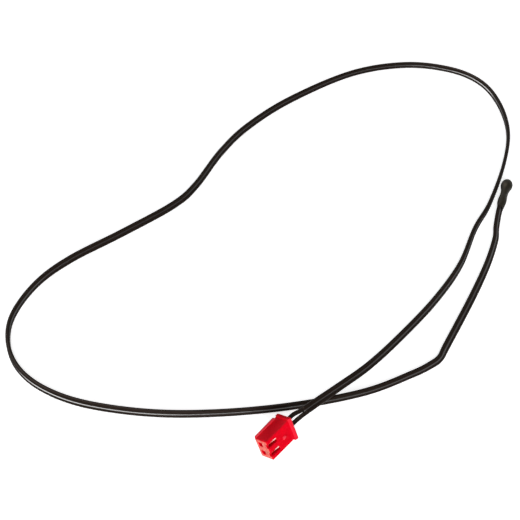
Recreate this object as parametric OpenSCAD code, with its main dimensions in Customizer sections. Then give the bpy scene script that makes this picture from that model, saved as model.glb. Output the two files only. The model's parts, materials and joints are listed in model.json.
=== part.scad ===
// Air temperature sensor: a ceramic chip in a dipped bead of black epoxy, on a flat twin cord that
// ends in a two-way crimp plug. It lies at rest, with its cord in one loop. Sizes in millimetres.
// +Z is up. The origin is on the surface that the sensor lies on, below the middle of the sensing
// head, which lies along Y with its tip towards +Y.

/* [Sensing head] */
// Diameter of the round bead at the tip
bead_d = 3.4; // [3:0.1:4.2]
// Length of the round bead
bead_l = 4.7; // [4:0.1:5]
// Diameter of the neck behind the bead
neck_d = 2.2; // [1.9:0.05:2.3]
// Distance from the middle of the bead back to the neck
neck_back = 4.4; // [4:0.1:4.8]
// Diameter of the swelling over the soldered joints
swell_d = 2.56; // [2.5:0.02:3.2]
// Distance from the middle of the bead back to where the swelling is full
swell_back = 6.9; // [6.6:0.1:7.4]
// Diameter of the epoxy where its straight taper starts
taper_d = 2.4; // [2.2:0.05:2.45]
// Distance from the middle of the bead back to where the straight taper starts
taper_back = 8.4; // [8.3:0.1:9]
// Distance from the middle of the bead back to the rear end of the epoxy
head_back = 10.3; // [10.1:0.1:12]
// Thickness of the epoxy skin on the cord at the rear end
skin_t = 0.12; // [0.08:0.01:0.2]

/* [Sensing element] */
// Width and length of the square ceramic chip
chip_w = 1.2; // [1:0.05:1.4]
// Thickness of the ceramic chip
chip_t = 0.6; // [0.5:0.05:0.8]
// Radius of the round solder cap on each face of the chip
cap_r = 0.48; // [0.44:0.01:0.5]
// Diameter of the two tinned leads
lead_d = 0.25; // [0.2:0.01:0.3]
// How far the tip of a lead stands in front of the middle of the chip
lead_front = 0.3; // [0.2:0.05:0.35]
// Gap between a lead and the face of the chip, filled by the solder cap
lead_gap = 0.02; // [0.01:0.01:0.05]
// Gap between a lead and the conductor that it lies beside, filled by solder
lap_gap = 0.03; // [0.02:0.01:0.05]
// Length of the soldered joint between a lead and a conductor
joint_l = 2; // [1.8:0.1:2.2]
// Diameter of the solder round a joint
joint_d = 0.96; // [0.9:0.01:1]
// Length of bare conductor between a joint and the insulation
joint_clear = 0.3; // [0.2:0.05:0.4]

/* [Cord] */
// Outer diameter of each of the two cores
core_d = 1.1; // [1.04:0.02:1.14]
// Thickness of the web where the two cores join
web_t = 0.4; // [0.3:0.05:0.5]
// Diameter of the stranded copper conductor in a core
conductor_d = 0.5; // [0.4:0.02:0.56]
// Length of the bare conductor at the head
strip_head = 1.7; // [1.4:0.1:2]
// How far the insulation reaches into the epoxy
grip_l = 2.2; // [1.8:0.1:2.6]
// Turn of the cord about its own axis where it enters the head, from standing on edge
head_roll = 38; // [20:1:50]
// Length over which the two cores run apart behind the plug
split_l = 5.2; // [4.6:0.1:5.8]
// Distance between the middles of the cores where they leave the plug
mouth_spread = 1.96; // [1.94:0.02:2.3]
// Distance between the middles of the cores halfway to the split
middle_spread = 1.62; // [1.5:0.02:1.8]

/* [Plug housing] */
// Distance between the two contacts
pitch = 2.5; // [2.5:0.04:2.54]
// Length of the housing from the mating face to the wire end
housing_l = 8.9; // [8.6:0.1:9.5]
// Width of the housing along the row of contacts
housing_w = 5.6; // [5.5:0.1:6.2]
// Thickness of the housing
housing_t = 4; // [3.9:0.1:4.6]
// Length of the flange at the wire end
flange_l = 1.1; // [0.8:0.1:1.4]
// How far the flange stands out past each narrow side
flange_out = 0.35; // [0.3:0.05:0.8]
// How far the flange rises past the broad side with the windows, towards its rear
flange_lip = 0.3; // [0.2:0.02:0.4]
// Rounding of the two long edges beside the windows
edge_r = 0.3; // [0.2:0.05:0.4]
// Width of the guide rail on each narrow side
rail_w = 0.5; // [0.4:0.05:0.7]
// How far a guide rail stands out at its rear end
rail_h = 0.5; // [0.4:0.05:0.6]
// How far a guide rail stands out at the mating end
rail_nose_h = 0.25; // [0.2:0.05:0.35]
// Length of a guide rail from the mating face
rail_l = 7.1; // [6.6:0.1:7.1]
// Chamfer round the mating end
nose_chamfer = 0.2; // [0.1:0.05:0.25]
// Chamfer round the wire end
rear_chamfer = 0.3; // [0.2:0.05:0.4]
// Thickness of the wall at the mating face
front_wall = 0.7; // [0.6:0.05:0.9]
// Width of each contact cavity
cavity_w = 1.7; // [1.66:0.02:1.8]
// Height of each contact cavity
cavity_h = 2.5; // [2.46:0.02:2.6]
// Thickness of the wall between the cavities and the plain broad side
back_wall = 0.9; // [0.7:0.05:0.95]
// Width of each window over a contact
window_w = 1.1; // [0.9:0.05:1.2]
// Length of each window from the mating face
window_l = 3.1; // [2.8:0.1:3.2]
// Width of the square entry for a pin
entry_w = 0.8; // [0.76:0.02:0.86]
// Chamfer round a pin entry
entry_chamfer = 0.12; // [0.06:0.02:0.16]
// Diameter of the moulding gate mark on the broad side
gate_d = 0.7; // [0.5:0.1:1]
// Height of the moulding gate mark
gate_h = 0.12; // [0.08:0.02:0.2]
// Distance of the gate mark from the mating face
gate_at = 5.4; // [4.5:0.1:6.2]
// Distance of the gate mark from the middle, along the row of contacts
gate_row = -0.1; // [-0.6:0.1:0.6]

/* [Contacts] */
// Thickness of the sheet that a contact is folded from
sheet_t = 0.2; // [0.16:0.02:0.22]
// Clearance between a contact and its cavity, on each side
contact_gap = 0.05; // [0.04:0.01:0.08]
// Width of the square pin that a contact takes
pin_w = 0.64; // [0.6:0.02:0.64]
// Length of the folded box of a contact
box_l = 3.4; // [3.2:0.1:3.5]
// Cut-off corners of the folded box
box_chamfer = 0.12; // [0.08:0.02:0.16]
// Width of the seam where the folded box closes
seam_w = 0.06; // [0.04:0.01:0.1]
// Width of the locking tang
tang_w = 0.6; // [0.5:0.05:0.7]
// How far the locking tang stands out
tang_h = 0.3; // [0.2:0.05:0.4]
// Length of the locking tang
tang_l = 1.4; // [1.2:0.1:1.6]
// Width of the contact spring inside the box
spring_w = 0.8; // [0.6:0.05:0.9]
// Thickness of the contact spring
spring_t = 0.15; // [0.12:0.01:0.18]
// How far the relaxed spring stands into the way of the pin
spring_bite = 0.1; // [0.05:0.01:0.15]
// Width of the strip that joins the box to the crimps
strip_w = 0.7; // [0.6:0.05:0.8]
// Distance from the mating face to the start of the conductor crimp
wire_crimp_at = 4.75; // [4.7:0.05:4.8]
// Length of the conductor crimp
wire_crimp_l = 1; // [0.8:0.05:1.05]
// How far the conductor shows in front of its crimp
brush_l = 0.2; // [0.1:0.05:0.25]
// Distance from the mating face to the end of the insulation
strip_at = 6.05; // [6:0.05:6.15]
// Distance from the mating face to the start of the insulation crimp
jacket_crimp_at = 6.35; // [6.3:0.05:6.4]
// Length of the insulation crimp
jacket_crimp_l = 1; // [0.8:0.1:1.2]
// Depth of the seam on top of a crimp
crimp_seam = 0.12; // [0.08:0.01:0.14]

/* [Plug at rest] */
// Place of the mating face along X
plug_x = -35.6; // [-36:0.1:-35]
// Place of the mating face along Y
plug_y = -108.7; // [-109.4:0.1:-108.4]
// Heading of the plug from +Y, seen from above
plug_heading = -21; // [-24:0.5:-19]
// Rise of the plug towards its wire end
plug_pitch = 1; // [0:0.5:2]
// Lean of the plug from standing on its narrow side
plug_roll = 23.3; // [18:0.1:26]
// Heading of the cord where its two cores part, seen from above
split_heading = -29; // [-33:1:-24]
// How far the split lies from the middle of the plug, towards the side with the windows
split_rise = 0.4; // [0:0.1:0.6]
// Roll of the cord where it splits
split_roll = 60; // [40:1:70]

/* [Hidden] */

epoxy_color = [0.14, 0.13, 0.12];
cord_color = [0.12, 0.09, 0.08];
red = [0.9, 0.02, 0.1];
solder_color = [0.72, 0.73, 0.75];
copper = [0.78, 0.5, 0.32];
tin = [0.8, 0.8, 0.78];
ceramic = [0.35, 0.33, 0.3];

// Overlap that keeps cuts clean
eps = 0.05;

// Sides of a core's tail, and places on each stretch of the cord and of a tail
tail_sides = 12;
cable_steps = 2;
tail_steps = 3;

// The head rests on its bead, so its axis lies at the bead's radius
axis_z = bead_d / 2;
// The origin lies below the middle of the head
bead_y = (head_back - bead_l / 2) / 2;
head_end_y = bead_y - head_back;

// Depths behind the middle of the bead
jacket_back = head_back - grip_l;
conductor_back = jacket_back - strip_head;
joint_back = jacket_back - joint_clear - joint_l;
lead_end_back = joint_back + joint_l - 2 * lap_gap;
// Share of the bead's half length at which its curve runs over into the neck
bead_run = 0.45;
// The taper starts this far inside the end of the round part, and this much thinner
taper_tuck = 0.1;
taper_inset = 0.01;
// Length of the straight collar at the rear end of the epoxy
collar_l = 0.1;

// Half of the distance between the two cores where they are joined
core_off = core_d / 2;
// Distance of a lead's axis from the head's axis at the chip, and from the conductor at its tip
lead_off = chip_t / 2 + lead_gap + lead_d / 2;
lap_off = conductor_d / 2 + lap_gap + lead_d / 2;

// Outline of the twin cord, across its two cores
cord_outline = [
    [core_d, 0], [core_off, core_off], [0, web_t / 2], [-core_off, core_off],
    [-core_d, 0], [-core_off, -core_off], [0, -web_t / 2], [core_off, -core_off]
];

// Levels inside the plug, from its middle towards the broad side with the windows
cavity_floor = -housing_t / 2 + back_wall;
cavity_roof = cavity_floor + cavity_h;
contact_floor = cavity_floor + contact_gap;
contact_roof = cavity_roof - contact_gap;
contact_w = cavity_w - 2 * contact_gap;
contact_front = front_wall + contact_gap;
box_end = contact_front + box_l;
entry_level = contact_floor + sheet_t + pin_w / 2;
// Both crimps share one axis, set by the insulation crimp on the cavity's floor
crimp_level = contact_floor + sheet_t + core_off;
wire_crimp_r = conductor_d / 2 + sheet_t;
jacket_crimp_r = core_off + sheet_t;
// The strip lies this much below the round walls, so that they overlap cleanly
strip_dip = 0.02;
flange_at = housing_l - flange_l;
// A guide rail rises to its height at the mating end within a short ramp, and is highest where the
// ramp at its rear end starts
rail_nose_at = nose_chamfer * 1.5;
rail_ramp = 0.2;
rail_top_at = rail_l - rail_ramp;

// Height of the mating face's middle if the plug rests on its plain lower edge, where that stands out
// this far and lies this far from the mating face
function rest_on(out, along) =
    ((housing_w / 2 + out) * cos(plug_roll) + housing_t / 2 * sin(plug_roll)) * cos(plug_pitch)
    - along * sin(plug_pitch);
// The plug rests on an end of its lower rail or on its flange
plug_rest = max(rest_on(rail_nose_h, rail_nose_at), rest_on(rail_h, rail_top_at),
                rest_on(flange_out, flange_at));
plug_origin = [plug_x, plug_y, plug_rest];

// Clearance under the cord, which lies on the surface
lay_gap = 0.02;

// Route of the cord's middle from the head to the plug: x, y, turn about its own axis from standing
// on edge, and lift above lying on the surface
cable_route = [
    [0.5, -13.9, 38, 0.2], [1.2, -18.9, 39, 0], [1, -29.2, 43, 0], [-0.4, -42.9, 48, 0],
    [-3, -61.3, 43, 0], [-3.7, -66.1, 28, 0], [-5.3, -69, 20, 0], [-9, -73.5, 12, 0],
    [-18.5, -82.8, 9, 0], [-33.2, -92.4, 9, 0], [-49.5, -100.5, 9, 0], [-65.3, -106.1, 12, 0],
    [-81.3, -108.9, 15, 0], [-93, -108.1, 10, 0], [-101.9, -104.4, 5, 0], [-108.3, -97.8, 0, 0],
    [-111.7, -88.9, -10, 0], [-111.2, -76.8, -13, 0], [-106.9, -65.4, -32, 0], [-97.9, -51, -45, 0],
    [-89, -35.7, -46, 0], [-86, -25.6, -37, 0], [-84.5, -8.9, -33, 0], [-81.1, 5.7, -31, 0],
    [-72.9, 23.4, -24, 0], [-58.5, 43.4, -7, 0], [-43.1, 54, 1, 0], [-28.4, 56.4, 4, 0],
    [-17.5, 52.7, -2, 0], [-9.6, 43.2, -3, 0], [-4.2, 29.6, 4, 0], [-2.6, 13.6, -3, 0],
    [-3.2, -4.7, 0, 0], [-5, -16.6, 9, 0], [-5.9, -32.1, 21, 0], [-9.3, -46.9, 30, 0],
    [-14.5, -62.1, 30, 0.3], [-19.5, -75.5, 31, 1.6], [-24.6, -85.4, 33, 2.45]
];

function about_x(a) = [[1, 0, 0], [0, cos(a), -sin(a)], [0, sin(a), cos(a)]];
function about_y(a) = [[cos(a), 0, sin(a)], [0, 1, 0], [-sin(a), 0, cos(a)]];
function about_z(a) = [[cos(a), -sin(a), 0], [sin(a), cos(a), 0], [0, 0, 1]];
plug_turn = about_z(plug_heading) * about_x(plug_pitch) * about_y(-plug_roll);

// Point of the plug, given across its thickness, along it from the mating face, and along the row
function plug_point(across, along, row) = plug_origin + plug_turn * [across, along, row];

function unit(v) = v / norm(v);
function place(p) = [p[0], p[1], p[2]];

// A place on a swept line holds x, y, z, the turn about its own axis and the distance of a core from
// the middle. The smooth line runs through every place, between a lead-in and a lead-out that give it
// its direction at each end.
function between(a, b, c, d, t) =
    0.5 * (2 * b + (c - a) * t + (2 * a - 5 * b + 4 * c - d) * t * t + (3 * b - a - 3 * c + d) * t * t * t);
function way_between(a, b, c, d, t) =
    0.5 * ((c - a) + 2 * (2 * a - 5 * b + 4 * c - d) * t + 3 * (3 * b - a - 3 * c + d) * t * t);
function led(line, way_in, way_out) =
    let (n = len(line),
         first = norm(place(line[1] - line[0])),
         last = norm(place(line[n - 1] - line[n - 2])))
    concat([line[1] - 2 * first * concat(way_in, [0, 0])], line,
           [line[n - 2] + 2 * last * concat(way_out, [0, 0])]);

// Ring of an outline's points, square to the way that the line runs
function ring(at, way, outline) =
    let (up = unit([0, 0, 1] - way * way[2]),
         side = cross(way, up),
         u = cos(at[3]) * up + sin(at[3]) * side,
         w = cross(way, u))
    [for (q = outline) place(at) + q[0] * u + q[1] * w];

// Outline of one core at its distance from the middle, or of the whole cord where side is 0
function core_outline(off, side) = [
    for (k = [0 : tail_sides - 1])
        let (a = (k + 0.5) * 360 / tail_sides)
        [side * off + core_off * cos(a), core_off * sin(a)]
];
function outline_at(off, side) = side == 0 ? cord_outline : core_outline(off, side);

function swept_rings(line, steps, side) = [
    for (i = [1 : len(line) - 3], k = [0 : (i == len(line) - 3 ? steps : steps - 1)])
        let (t = k / steps,
             at = between(line[i - 1], line[i], line[i + 1], line[i + 2], t),
             way = unit(place(way_between(line[i - 1], line[i], line[i + 1], line[i + 2], t))))
        ring(at, way, outline_at(at[4], side))
];

module swept(rings) {
    n = len(rings[0]);
    m = len(rings);
    polyhedron(
        points = [for (r = rings) each r],
        faces = concat(
            [[for (k = [0 : n - 1]) k]],
            [[for (k = [n - 1 : -1 : 0]) (m - 1) * n + k]],
            [for (j = [0 : m - 2], k = [0 : n - 1])
                [j * n + k, (j + 1) * n + k, (j + 1) * n + (k + 1) % n]],
            [for (j = [0 : m - 2], k = [0 : n - 1])
                [j * n + k, (j + 1) * n + (k + 1) % n, j * n + (k + 1) % n]]
        )
    );
}

// Cord from inside the head to the split behind the plug
cable_way_in = [0, -1, 0];
cable_way_out = [sin(split_heading), -cos(split_heading), 0];
cable_start = [0, head_end_y, axis_z, head_roll, 0];
cable_end = concat(plug_point(split_rise, housing_l + split_l, 0), [split_roll, core_off]);
cable_line = led(
    concat([cable_start],
           [for (p = cable_route) [p[0], p[1], core_off * (1 + cos(p[2])) + p[3] + lay_gap, p[2], 0]],
           [cable_end]),
    cable_way_in, cable_way_out);

// Middle between the two core tails, from the split back to the insulation crimps
tail_way_out = plug_turn * [0, -1, 0];
tail_line = led(
    [cable_end,
     concat(plug_point(crimp_level, housing_l + split_l / 2, 0),
            [mix(split_roll, plug_roll, 1 / 2), middle_spread / 2]),
     concat(plug_point(crimp_level, housing_l, 0), [plug_roll, mouth_spread / 2]),
     concat(plug_point(crimp_level, jacket_crimp_at + jacket_crimp_l, 0), [plug_roll, pitch / 2])],
    cable_way_out, tail_way_out);
tail_end = concat(plug_point(crimp_level, strip_at, 0), [plug_roll, pitch / 2]);

// Frame along the head: Z runs back from the middle of the bead, Y lies along the row of cores
module along_head() {
    translate([0, bead_y, axis_z])
        rotate([0, -head_roll, 0])
            rotate([90, 0, 0])
                children();
}

// Frame of the plug: X lies across its thickness, Y runs back from the mating face, Z is the row
module plug_place() {
    translate(plug_origin)
        rotate([0, 0, plug_heading])
            rotate([plug_pitch, 0, 0])
                rotate([0, -plug_roll, 0])
                    children();
}

// Lays an outline drawn as (along, row) into the plug, and gives it a thickness across
module across_plug(from, to) {
    translate([from, 0, 0])
        rotate([90, 0, 90])
            linear_extrude(height = to - from)
                children();
}

module turned_for(side) {
    rotate([0, 0, side > 0 ? 0 : 180])
        children();
}

module rod(p, q, d) {
    v = q - p;
    translate(p)
        rotate([0, acos(v[2] / norm(v)), atan2(v[1], v[0])])
            cylinder(d = d, h = norm(v), $fn = 32);
}

// Round part of the epoxy as (radius, distance behind the middle of the bead): an ellipse over the
// bead, a smooth run down to the neck, a swelling, and the start of the taper
function mix(a, b, t) = a + (b - a) * t;
run_back = bead_run * bead_l / 2;
run_r = bead_d / 2 * sqrt(1 - bead_run * bead_run);
run_slope = -bead_d / bead_l * bead_run / sqrt(1 - bead_run * bead_run);
function eased(r1, slope, r2, l, t) =
    let (share = 3 * t * t - 2 * t * t * t)
    mix(r1, r2, share) + (t * t * t - 2 * t * t + t) * l * slope;
function on_bead(a) = [bead_d / 2 * sin(a), -bead_l / 2 * cos(a)];
head_profile = concat(
    [for (a = [0 : 9 : 90]) on_bead(a)],
    [for (t = [1 / 3 : 1 / 3 : 1]) on_bead(mix(90, acos(-bead_run), t))],
    [for (t = [1 / 6 : 1 / 6 : 1])
        [eased(run_r, run_slope, neck_d / 2, neck_back - run_back, t), mix(run_back, neck_back, t)]],
    [for (t = [1 / 6 : 1 / 6 : 1])
        [mix(neck_d / 2, swell_d / 2, (1 - cos(180 * t)) / 2), mix(neck_back, swell_back, t)]],
    [for (t = [1 / 3 : 1 / 3 : 1])
        [mix(swell_d / 2, taper_d / 2, 1 - cos(90 * t)), mix(swell_back, taper_back, t)]],
    [[0, taper_back]]
);

module head_dip() {
    rotate_extrude($fn = 64)
        polygon(head_profile);
    hull() {
        translate([0, 0, taper_back - taper_tuck - collar_l])
            cylinder(r = taper_d / 2 - taper_inset, h = collar_l, $fn = 32);
        for (side = [-1, 1])
            translate([0, side * core_off, head_back - collar_l])
                cylinder(r = core_off + skin_t, h = collar_l, $fn = 32);
    }
}

module chip_block() {
    translate([-chip_w / 2, -chip_t / 2, -chip_w / 2])
        cube([chip_w, chip_t, chip_w]);
}

module solder_cap() {
    intersection() {
        translate([0, chip_t / 2, 0])
            sphere(r = cap_r, $fn = 32);
        translate([-chip_w, chip_t / 2, -chip_w])
            cube([2 * chip_w, 2 * cap_r, 2 * chip_w]);
    }
}

// A straight lead from the chip's face, through the neck, to lie beside the conductor
module lead_rod() {
    tip = [0, lead_off, -lead_front];
    lap = [lap_off, core_off, conductor_back];
    rod(tip, tip + (lap - tip) * (lead_end_back + lead_front) / (conductor_back + lead_front), lead_d);
}

module conductor_rod() {
    translate([0, core_off, conductor_back])
        cylinder(d = conductor_d, h = strip_head, $fn = 32);
}

// Solder round a lead and a conductor, thinner towards its ends
module joint_spindle() {
    translate([lap_off / 2, core_off, joint_back])
        rotate_extrude($fn = 32)
            polygon(concat(
                [[0, 0]],
                [for (t = [0 : 1 / 8 : 1]) [joint_d / 2 * (0.75 + 0.25 * sin(180 * t)), joint_l * t]],
                [[0, joint_l]]));
}

// Everything that the epoxy is dipped over
module head_core() {
    chip_block();
    for (side = [-1, 1])
        turned_for(side) {
            solder_cap();
            lead_rod();
            conductor_rod();
            joint_spindle();
        }
    translate([0, 0, jacket_back])
        linear_extrude(height = grip_l + eps)
            polygon([for (q = cord_outline) [q[1], q[0]]]);
}

module epoxy_head() {
    color(epoxy_color)
        along_head()
            difference() {
                head_dip();
                head_core();
            }
}

module thermistor_chip() {
    color(ceramic)
        along_head()
            chip_block();
}

module chip_solder(side) {
    color(solder_color)
        along_head()
            turned_for(side)
                difference() {
                    solder_cap();
                    lead_rod();
                }
}

module lead(side) {
    color(tin)
        along_head()
            turned_for(side)
                lead_rod();
}

module splice_solder(side) {
    color(solder_color)
        along_head()
            turned_for(side)
                difference() {
                    joint_spindle();
                    lead_rod();
                    conductor_rod();
                }
}

module head_conductor(side) {
    color(copper)
        along_head()
            turned_for(side)
                conductor_rod();
}

module twin_cable() {
    inside = [0, head_end_y + grip_l, axis_z, head_roll, 0];
    color(cord_color)
        swept(concat([ring(inside, cable_way_in, cord_outline)], swept_rings(cable_line, cable_steps, 0)));
}

module core_tail(side) {
    color(cord_color)
        swept(concat(swept_rings(tail_line, tail_steps, side),
                     [ring(tail_end, tail_way_out, core_outline(pitch / 2, side))]));
}

function both_ways(half) = concat(half, [for (i = [len(half) - 1 : -1 : 0]) [half[i][0], -half[i][1]]]);

// Corner of the housing's section beside the windows, as (across, row)
rounded_corner = [
    for (a = [0 : 18 : 90])
        [housing_t / 2 - edge_r * (1 - sin(a)), housing_w / 2 - edge_r * (1 - cos(a))]
];

// Moulded block with its rounded edges and its chamfered mating end
module housing_block() {
    half_w = housing_w / 2;
    half_t = housing_t / 2;
    intersection() {
        along_plug(-eps, flange_at + rear_chamfer)
            polygon(both_ways(concat([[-half_t, half_w]], rounded_corner)));
        across_plug(-housing_t, housing_t)
            polygon(both_ways([[0, half_w - nose_chamfer], [nose_chamfer, half_w], [housing_l, half_w]]));
        linear_extrude(height = 2 * housing_w, center = true)
            polygon([
                [-half_t + nose_chamfer, 0], [half_t - nose_chamfer, 0], [half_t, nose_chamfer],
                [half_t, housing_l], [-half_t, housing_l], [-half_t, nose_chamfer]
            ]);
    }
}

// Flange at the wire end, which rises like a wedge past the broad side with the windows
module flange_block() {
    half_t = housing_t / 2;
    rear_w = housing_w / 2 + flange_out;
    rear_t = half_t + flange_lip;
    chamfer_at = housing_l - rear_chamfer;
    intersection() {
        across_plug(-housing_t, housing_t)
            polygon(both_ways([[flange_at, rear_w], [chamfer_at, rear_w],
                               [housing_l, rear_w - rear_chamfer]]));
        linear_extrude(height = 2 * housing_w, center = true)
            polygon([
                [-half_t, flange_at], [half_t, flange_at], [rear_t, chamfer_at],
                [rear_t - rear_chamfer, housing_l], [-half_t + rear_chamfer, housing_l],
                [-half_t, chamfer_at]
            ]);
    }
}

// Rail along the plain edge of one narrow side, with a short ramp at its rear end
module guide_rail(side) {
    half_w = housing_w / 2;
    across_plug(-housing_t / 2, -housing_t / 2 + rail_w)
        polygon([
            [nose_chamfer, side * (half_w - rail_w)], [nose_chamfer, side * half_w],
            [rail_nose_at, side * (half_w + rail_nose_h)], [rail_top_at, side * (half_w + rail_h)],
            [rail_l, side * half_w], [rail_l, side * (half_w - rail_w)]
        ]);
}

// Square way in for a pin, with a chamfer all round
module pin_entry() {
    half = entry_w / 2;
    wide = half + entry_chamfer + eps;
    depth = front_wall + eps;
    intersection() {
        translate([entry_level, 0, 0])
            linear_extrude(height = 2 * wide, center = true)
                polygon([[-wide, -eps], [wide, -eps], [half, entry_chamfer], [half, depth], [-half, depth],
                         [-half, entry_chamfer]]);
        across_plug(entry_level - wide, entry_level + wide)
            polygon([[-eps, -wide], [-eps, wide], [entry_chamfer, half], [depth, half], [depth, -half],
                     [entry_chamfer, -half]]);
    }
}

module gate_mark() {
    translate([housing_t / 2 - eps, gate_at, gate_row])
        rotate([0, 90, 0])
            cylinder(d1 = gate_d, d2 = gate_d * 0.7, h = gate_h + eps, $fn = 32);
}

module plug_housing() {
    color(red)
        plug_place()
            difference() {
                union() {
                    housing_block();
                    flange_block();
                    for (side = [-1, 1])
                        guide_rail(side);
                    gate_mark();
                }
                for (side = [-1, 1])
                    translate([0, 0, side * pitch / 2]) {
                        translate([cavity_floor, front_wall, -cavity_w / 2])
                            cube([cavity_h, housing_l, cavity_w]);
                        translate([cavity_roof - eps, -eps, -window_w / 2])
                            cube([housing_t, window_l + eps, window_w]);
                        pin_entry();
                    }
            }
}

// Lays an outline drawn as (across, row) into the plug, and gives it a length
module along_plug(from, to) {
    translate([0, from, 0])
        rotate([-90, 0, 0])
            linear_extrude(height = to - from)
                children();
}

// Folded box that takes the pin, with its seam and the opening that its tang is bent out of
module contact_box() {
    half = contact_w / 2;
    c = box_chamfer;
    tang_back = window_l - contact_gap;
    tang_front = tang_back - tang_l;
    difference() {
        along_plug(contact_front, box_end)
            polygon(both_ways([
                [contact_floor, half - c], [contact_floor + c, half], [contact_roof - c, half],
                [contact_roof, half - c]
            ]));
        along_plug(contact_front - eps, box_end + eps)
            polygon(both_ways([
                [contact_floor + sheet_t, half - sheet_t], [contact_roof - sheet_t, half - sheet_t]
            ]));
        translate([contact_roof - sheet_t - eps, tang_front, -tang_w / 2 - sheet_t / 2])
            cube([sheet_t + 2 * eps, tang_l + sheet_t, tang_w + sheet_t]);
        translate([(contact_floor + contact_roof) / 2, contact_front - eps, -contact_w])
            cube([seam_w, box_l + 2 * eps, contact_w]);
    }
    linear_extrude(height = tang_w, center = true)
        polygon([
            [contact_roof - sheet_t, tang_front - sheet_t], [contact_roof, tang_front - sheet_t],
            [contact_roof + tang_h, tang_back], [contact_roof + tang_h - sheet_t, tang_back]
        ]);
}

// Leaf spring inside the box, bent down from the roof to press on the pin
module contact_spring() {
    root = contact_roof - sheet_t + strip_dip;
    root_at = box_end - sheet_t;
    low = entry_level + pin_w / 2 - spring_bite;
    low_at = contact_front + box_l * 0.3;
    tip_at = contact_front + box_l * 0.1;
    linear_extrude(height = spring_w, center = true)
        polygon([
            [root, root_at], [low, low_at], [low + 2 * spring_t, tip_at], [low + 3 * spring_t, tip_at],
            [low + 1.2 * spring_t, low_at], [root, root_at - 2 * spring_t]
        ]);
}

// Strip from the box's floor, stepped up to the conductor crimp and down again
module contact_strip() {
    floor_level = contact_floor - strip_dip;
    wire_level = crimp_level - wire_crimp_r - strip_dip;
    under = [
        [floor_level, box_end - 2 * sheet_t], [floor_level, box_end], [wire_level, wire_crimp_at],
        [wire_level, wire_crimp_at + wire_crimp_l], [floor_level, strip_at - contact_gap],
        [floor_level, jacket_crimp_at + jacket_crimp_l]
    ];
    linear_extrude(height = strip_w, center = true)
        polygon(concat(under, [for (i = [len(under) - 1 : -1 : 0]) under[i] + [sheet_t, 0]]));
}

// Barrel rolled round a conductor or a core, with the seam of its two wings on top
module crimp(at, l, inner_r) {
    outer_r = inner_r + sheet_t;
    translate([crimp_level, at, 0])
        rotate([-90, 0, 0])
            difference() {
                cylinder(r = outer_r, h = l, $fn = 32);
                translate([0, 0, -eps])
                    cylinder(r = inner_r, h = l + 2 * eps, $fn = 32);
                translate([outer_r, 0, -eps])
                    cylinder(r = crimp_seam, h = l + 2 * eps, $fn = 16);
            }
}

module terminal(side) {
    color(tin)
        plug_place()
            translate([0, 0, side * pitch / 2]) {
                contact_box();
                contact_spring();
                contact_strip();
                crimp(wire_crimp_at, wire_crimp_l, conductor_d / 2);
                crimp(jacket_crimp_at, jacket_crimp_l, core_off);
            }
}

module plug_conductor(side) {
    front = wire_crimp_at - brush_l;
    color(copper)
        plug_place()
            translate([crimp_level, front, side * pitch / 2])
                rotate([-90, 0, 0])
                    cylinder(d = conductor_d, h = strip_at - front, $fn = 32);
}

epoxy_head();
thermistor_chip();
chip_solder(1);  // chip_solder_a
chip_solder(-1);  // chip_solder_b
lead(1);  // lead_a
lead(-1);  // lead_b
splice_solder(1);  // splice_solder_a
splice_solder(-1);  // splice_solder_b
head_conductor(1);  // head_conductor_a
head_conductor(-1);  // head_conductor_b
twin_cable();
core_tail(1);  // core_tail_a
core_tail(-1);  // core_tail_b
plug_housing();
terminal(1);  // terminal_a
terminal(-1);  // terminal_b
plug_conductor(1);  // plug_conductor_a
plug_conductor(-1);  // plug_conductor_b
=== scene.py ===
# %% [markdown]
# # Air temperature sensor on a twin cord
# A thermistor chip sits in a small dipped bead of black epoxy. A flat twin cord leaves the bead, lies
# on the table in one loop, and ends in a red two-way crimp plug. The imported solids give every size
# and place, and this lesson dresses them: smooth cord, smooth bead, moulded plug, and a finish for
# each piece. All lengths are in metres in the same frame as the solids.

# %% Load the solids
import json
import math

import bpy
from mathutils import Matrix, Vector

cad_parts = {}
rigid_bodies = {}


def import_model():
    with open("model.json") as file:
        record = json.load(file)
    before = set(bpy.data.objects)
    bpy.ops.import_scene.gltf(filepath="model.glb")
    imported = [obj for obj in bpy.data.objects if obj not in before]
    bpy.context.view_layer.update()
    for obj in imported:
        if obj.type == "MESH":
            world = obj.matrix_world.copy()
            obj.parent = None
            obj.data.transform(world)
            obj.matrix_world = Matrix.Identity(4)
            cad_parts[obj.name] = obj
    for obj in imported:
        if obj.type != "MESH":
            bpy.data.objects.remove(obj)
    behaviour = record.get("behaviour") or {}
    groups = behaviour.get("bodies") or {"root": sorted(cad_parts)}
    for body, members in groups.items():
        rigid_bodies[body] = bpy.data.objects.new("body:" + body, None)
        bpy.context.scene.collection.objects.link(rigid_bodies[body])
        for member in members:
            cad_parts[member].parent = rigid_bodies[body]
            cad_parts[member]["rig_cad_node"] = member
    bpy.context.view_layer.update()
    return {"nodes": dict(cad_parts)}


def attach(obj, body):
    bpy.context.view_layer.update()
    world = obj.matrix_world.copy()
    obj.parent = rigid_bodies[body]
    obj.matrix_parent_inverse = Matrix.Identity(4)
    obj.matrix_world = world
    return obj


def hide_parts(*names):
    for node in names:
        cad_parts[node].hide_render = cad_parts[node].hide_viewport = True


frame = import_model()
nodes = frame["nodes"]
MM = 0.001
print("solids loaded:", len(nodes))


# %% [markdown]
# ## Camera
# The photograph looks down at 45 degrees from the side where the plug lies, through a long lens, so
# the far end of the loop is only a little smaller than the near end. The camera is placed by its
# point of view and the point on the table that it looks at, and it is kept level.

# %% Camera
EYE = Vector((13.09, -248.88, 213.5)) * MM
AIM = Vector((-58.24, -47.4, 0.0)) * MM
FOCAL_IN_WIDTHS = 1100 / 520
SENSOR = 36

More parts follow.
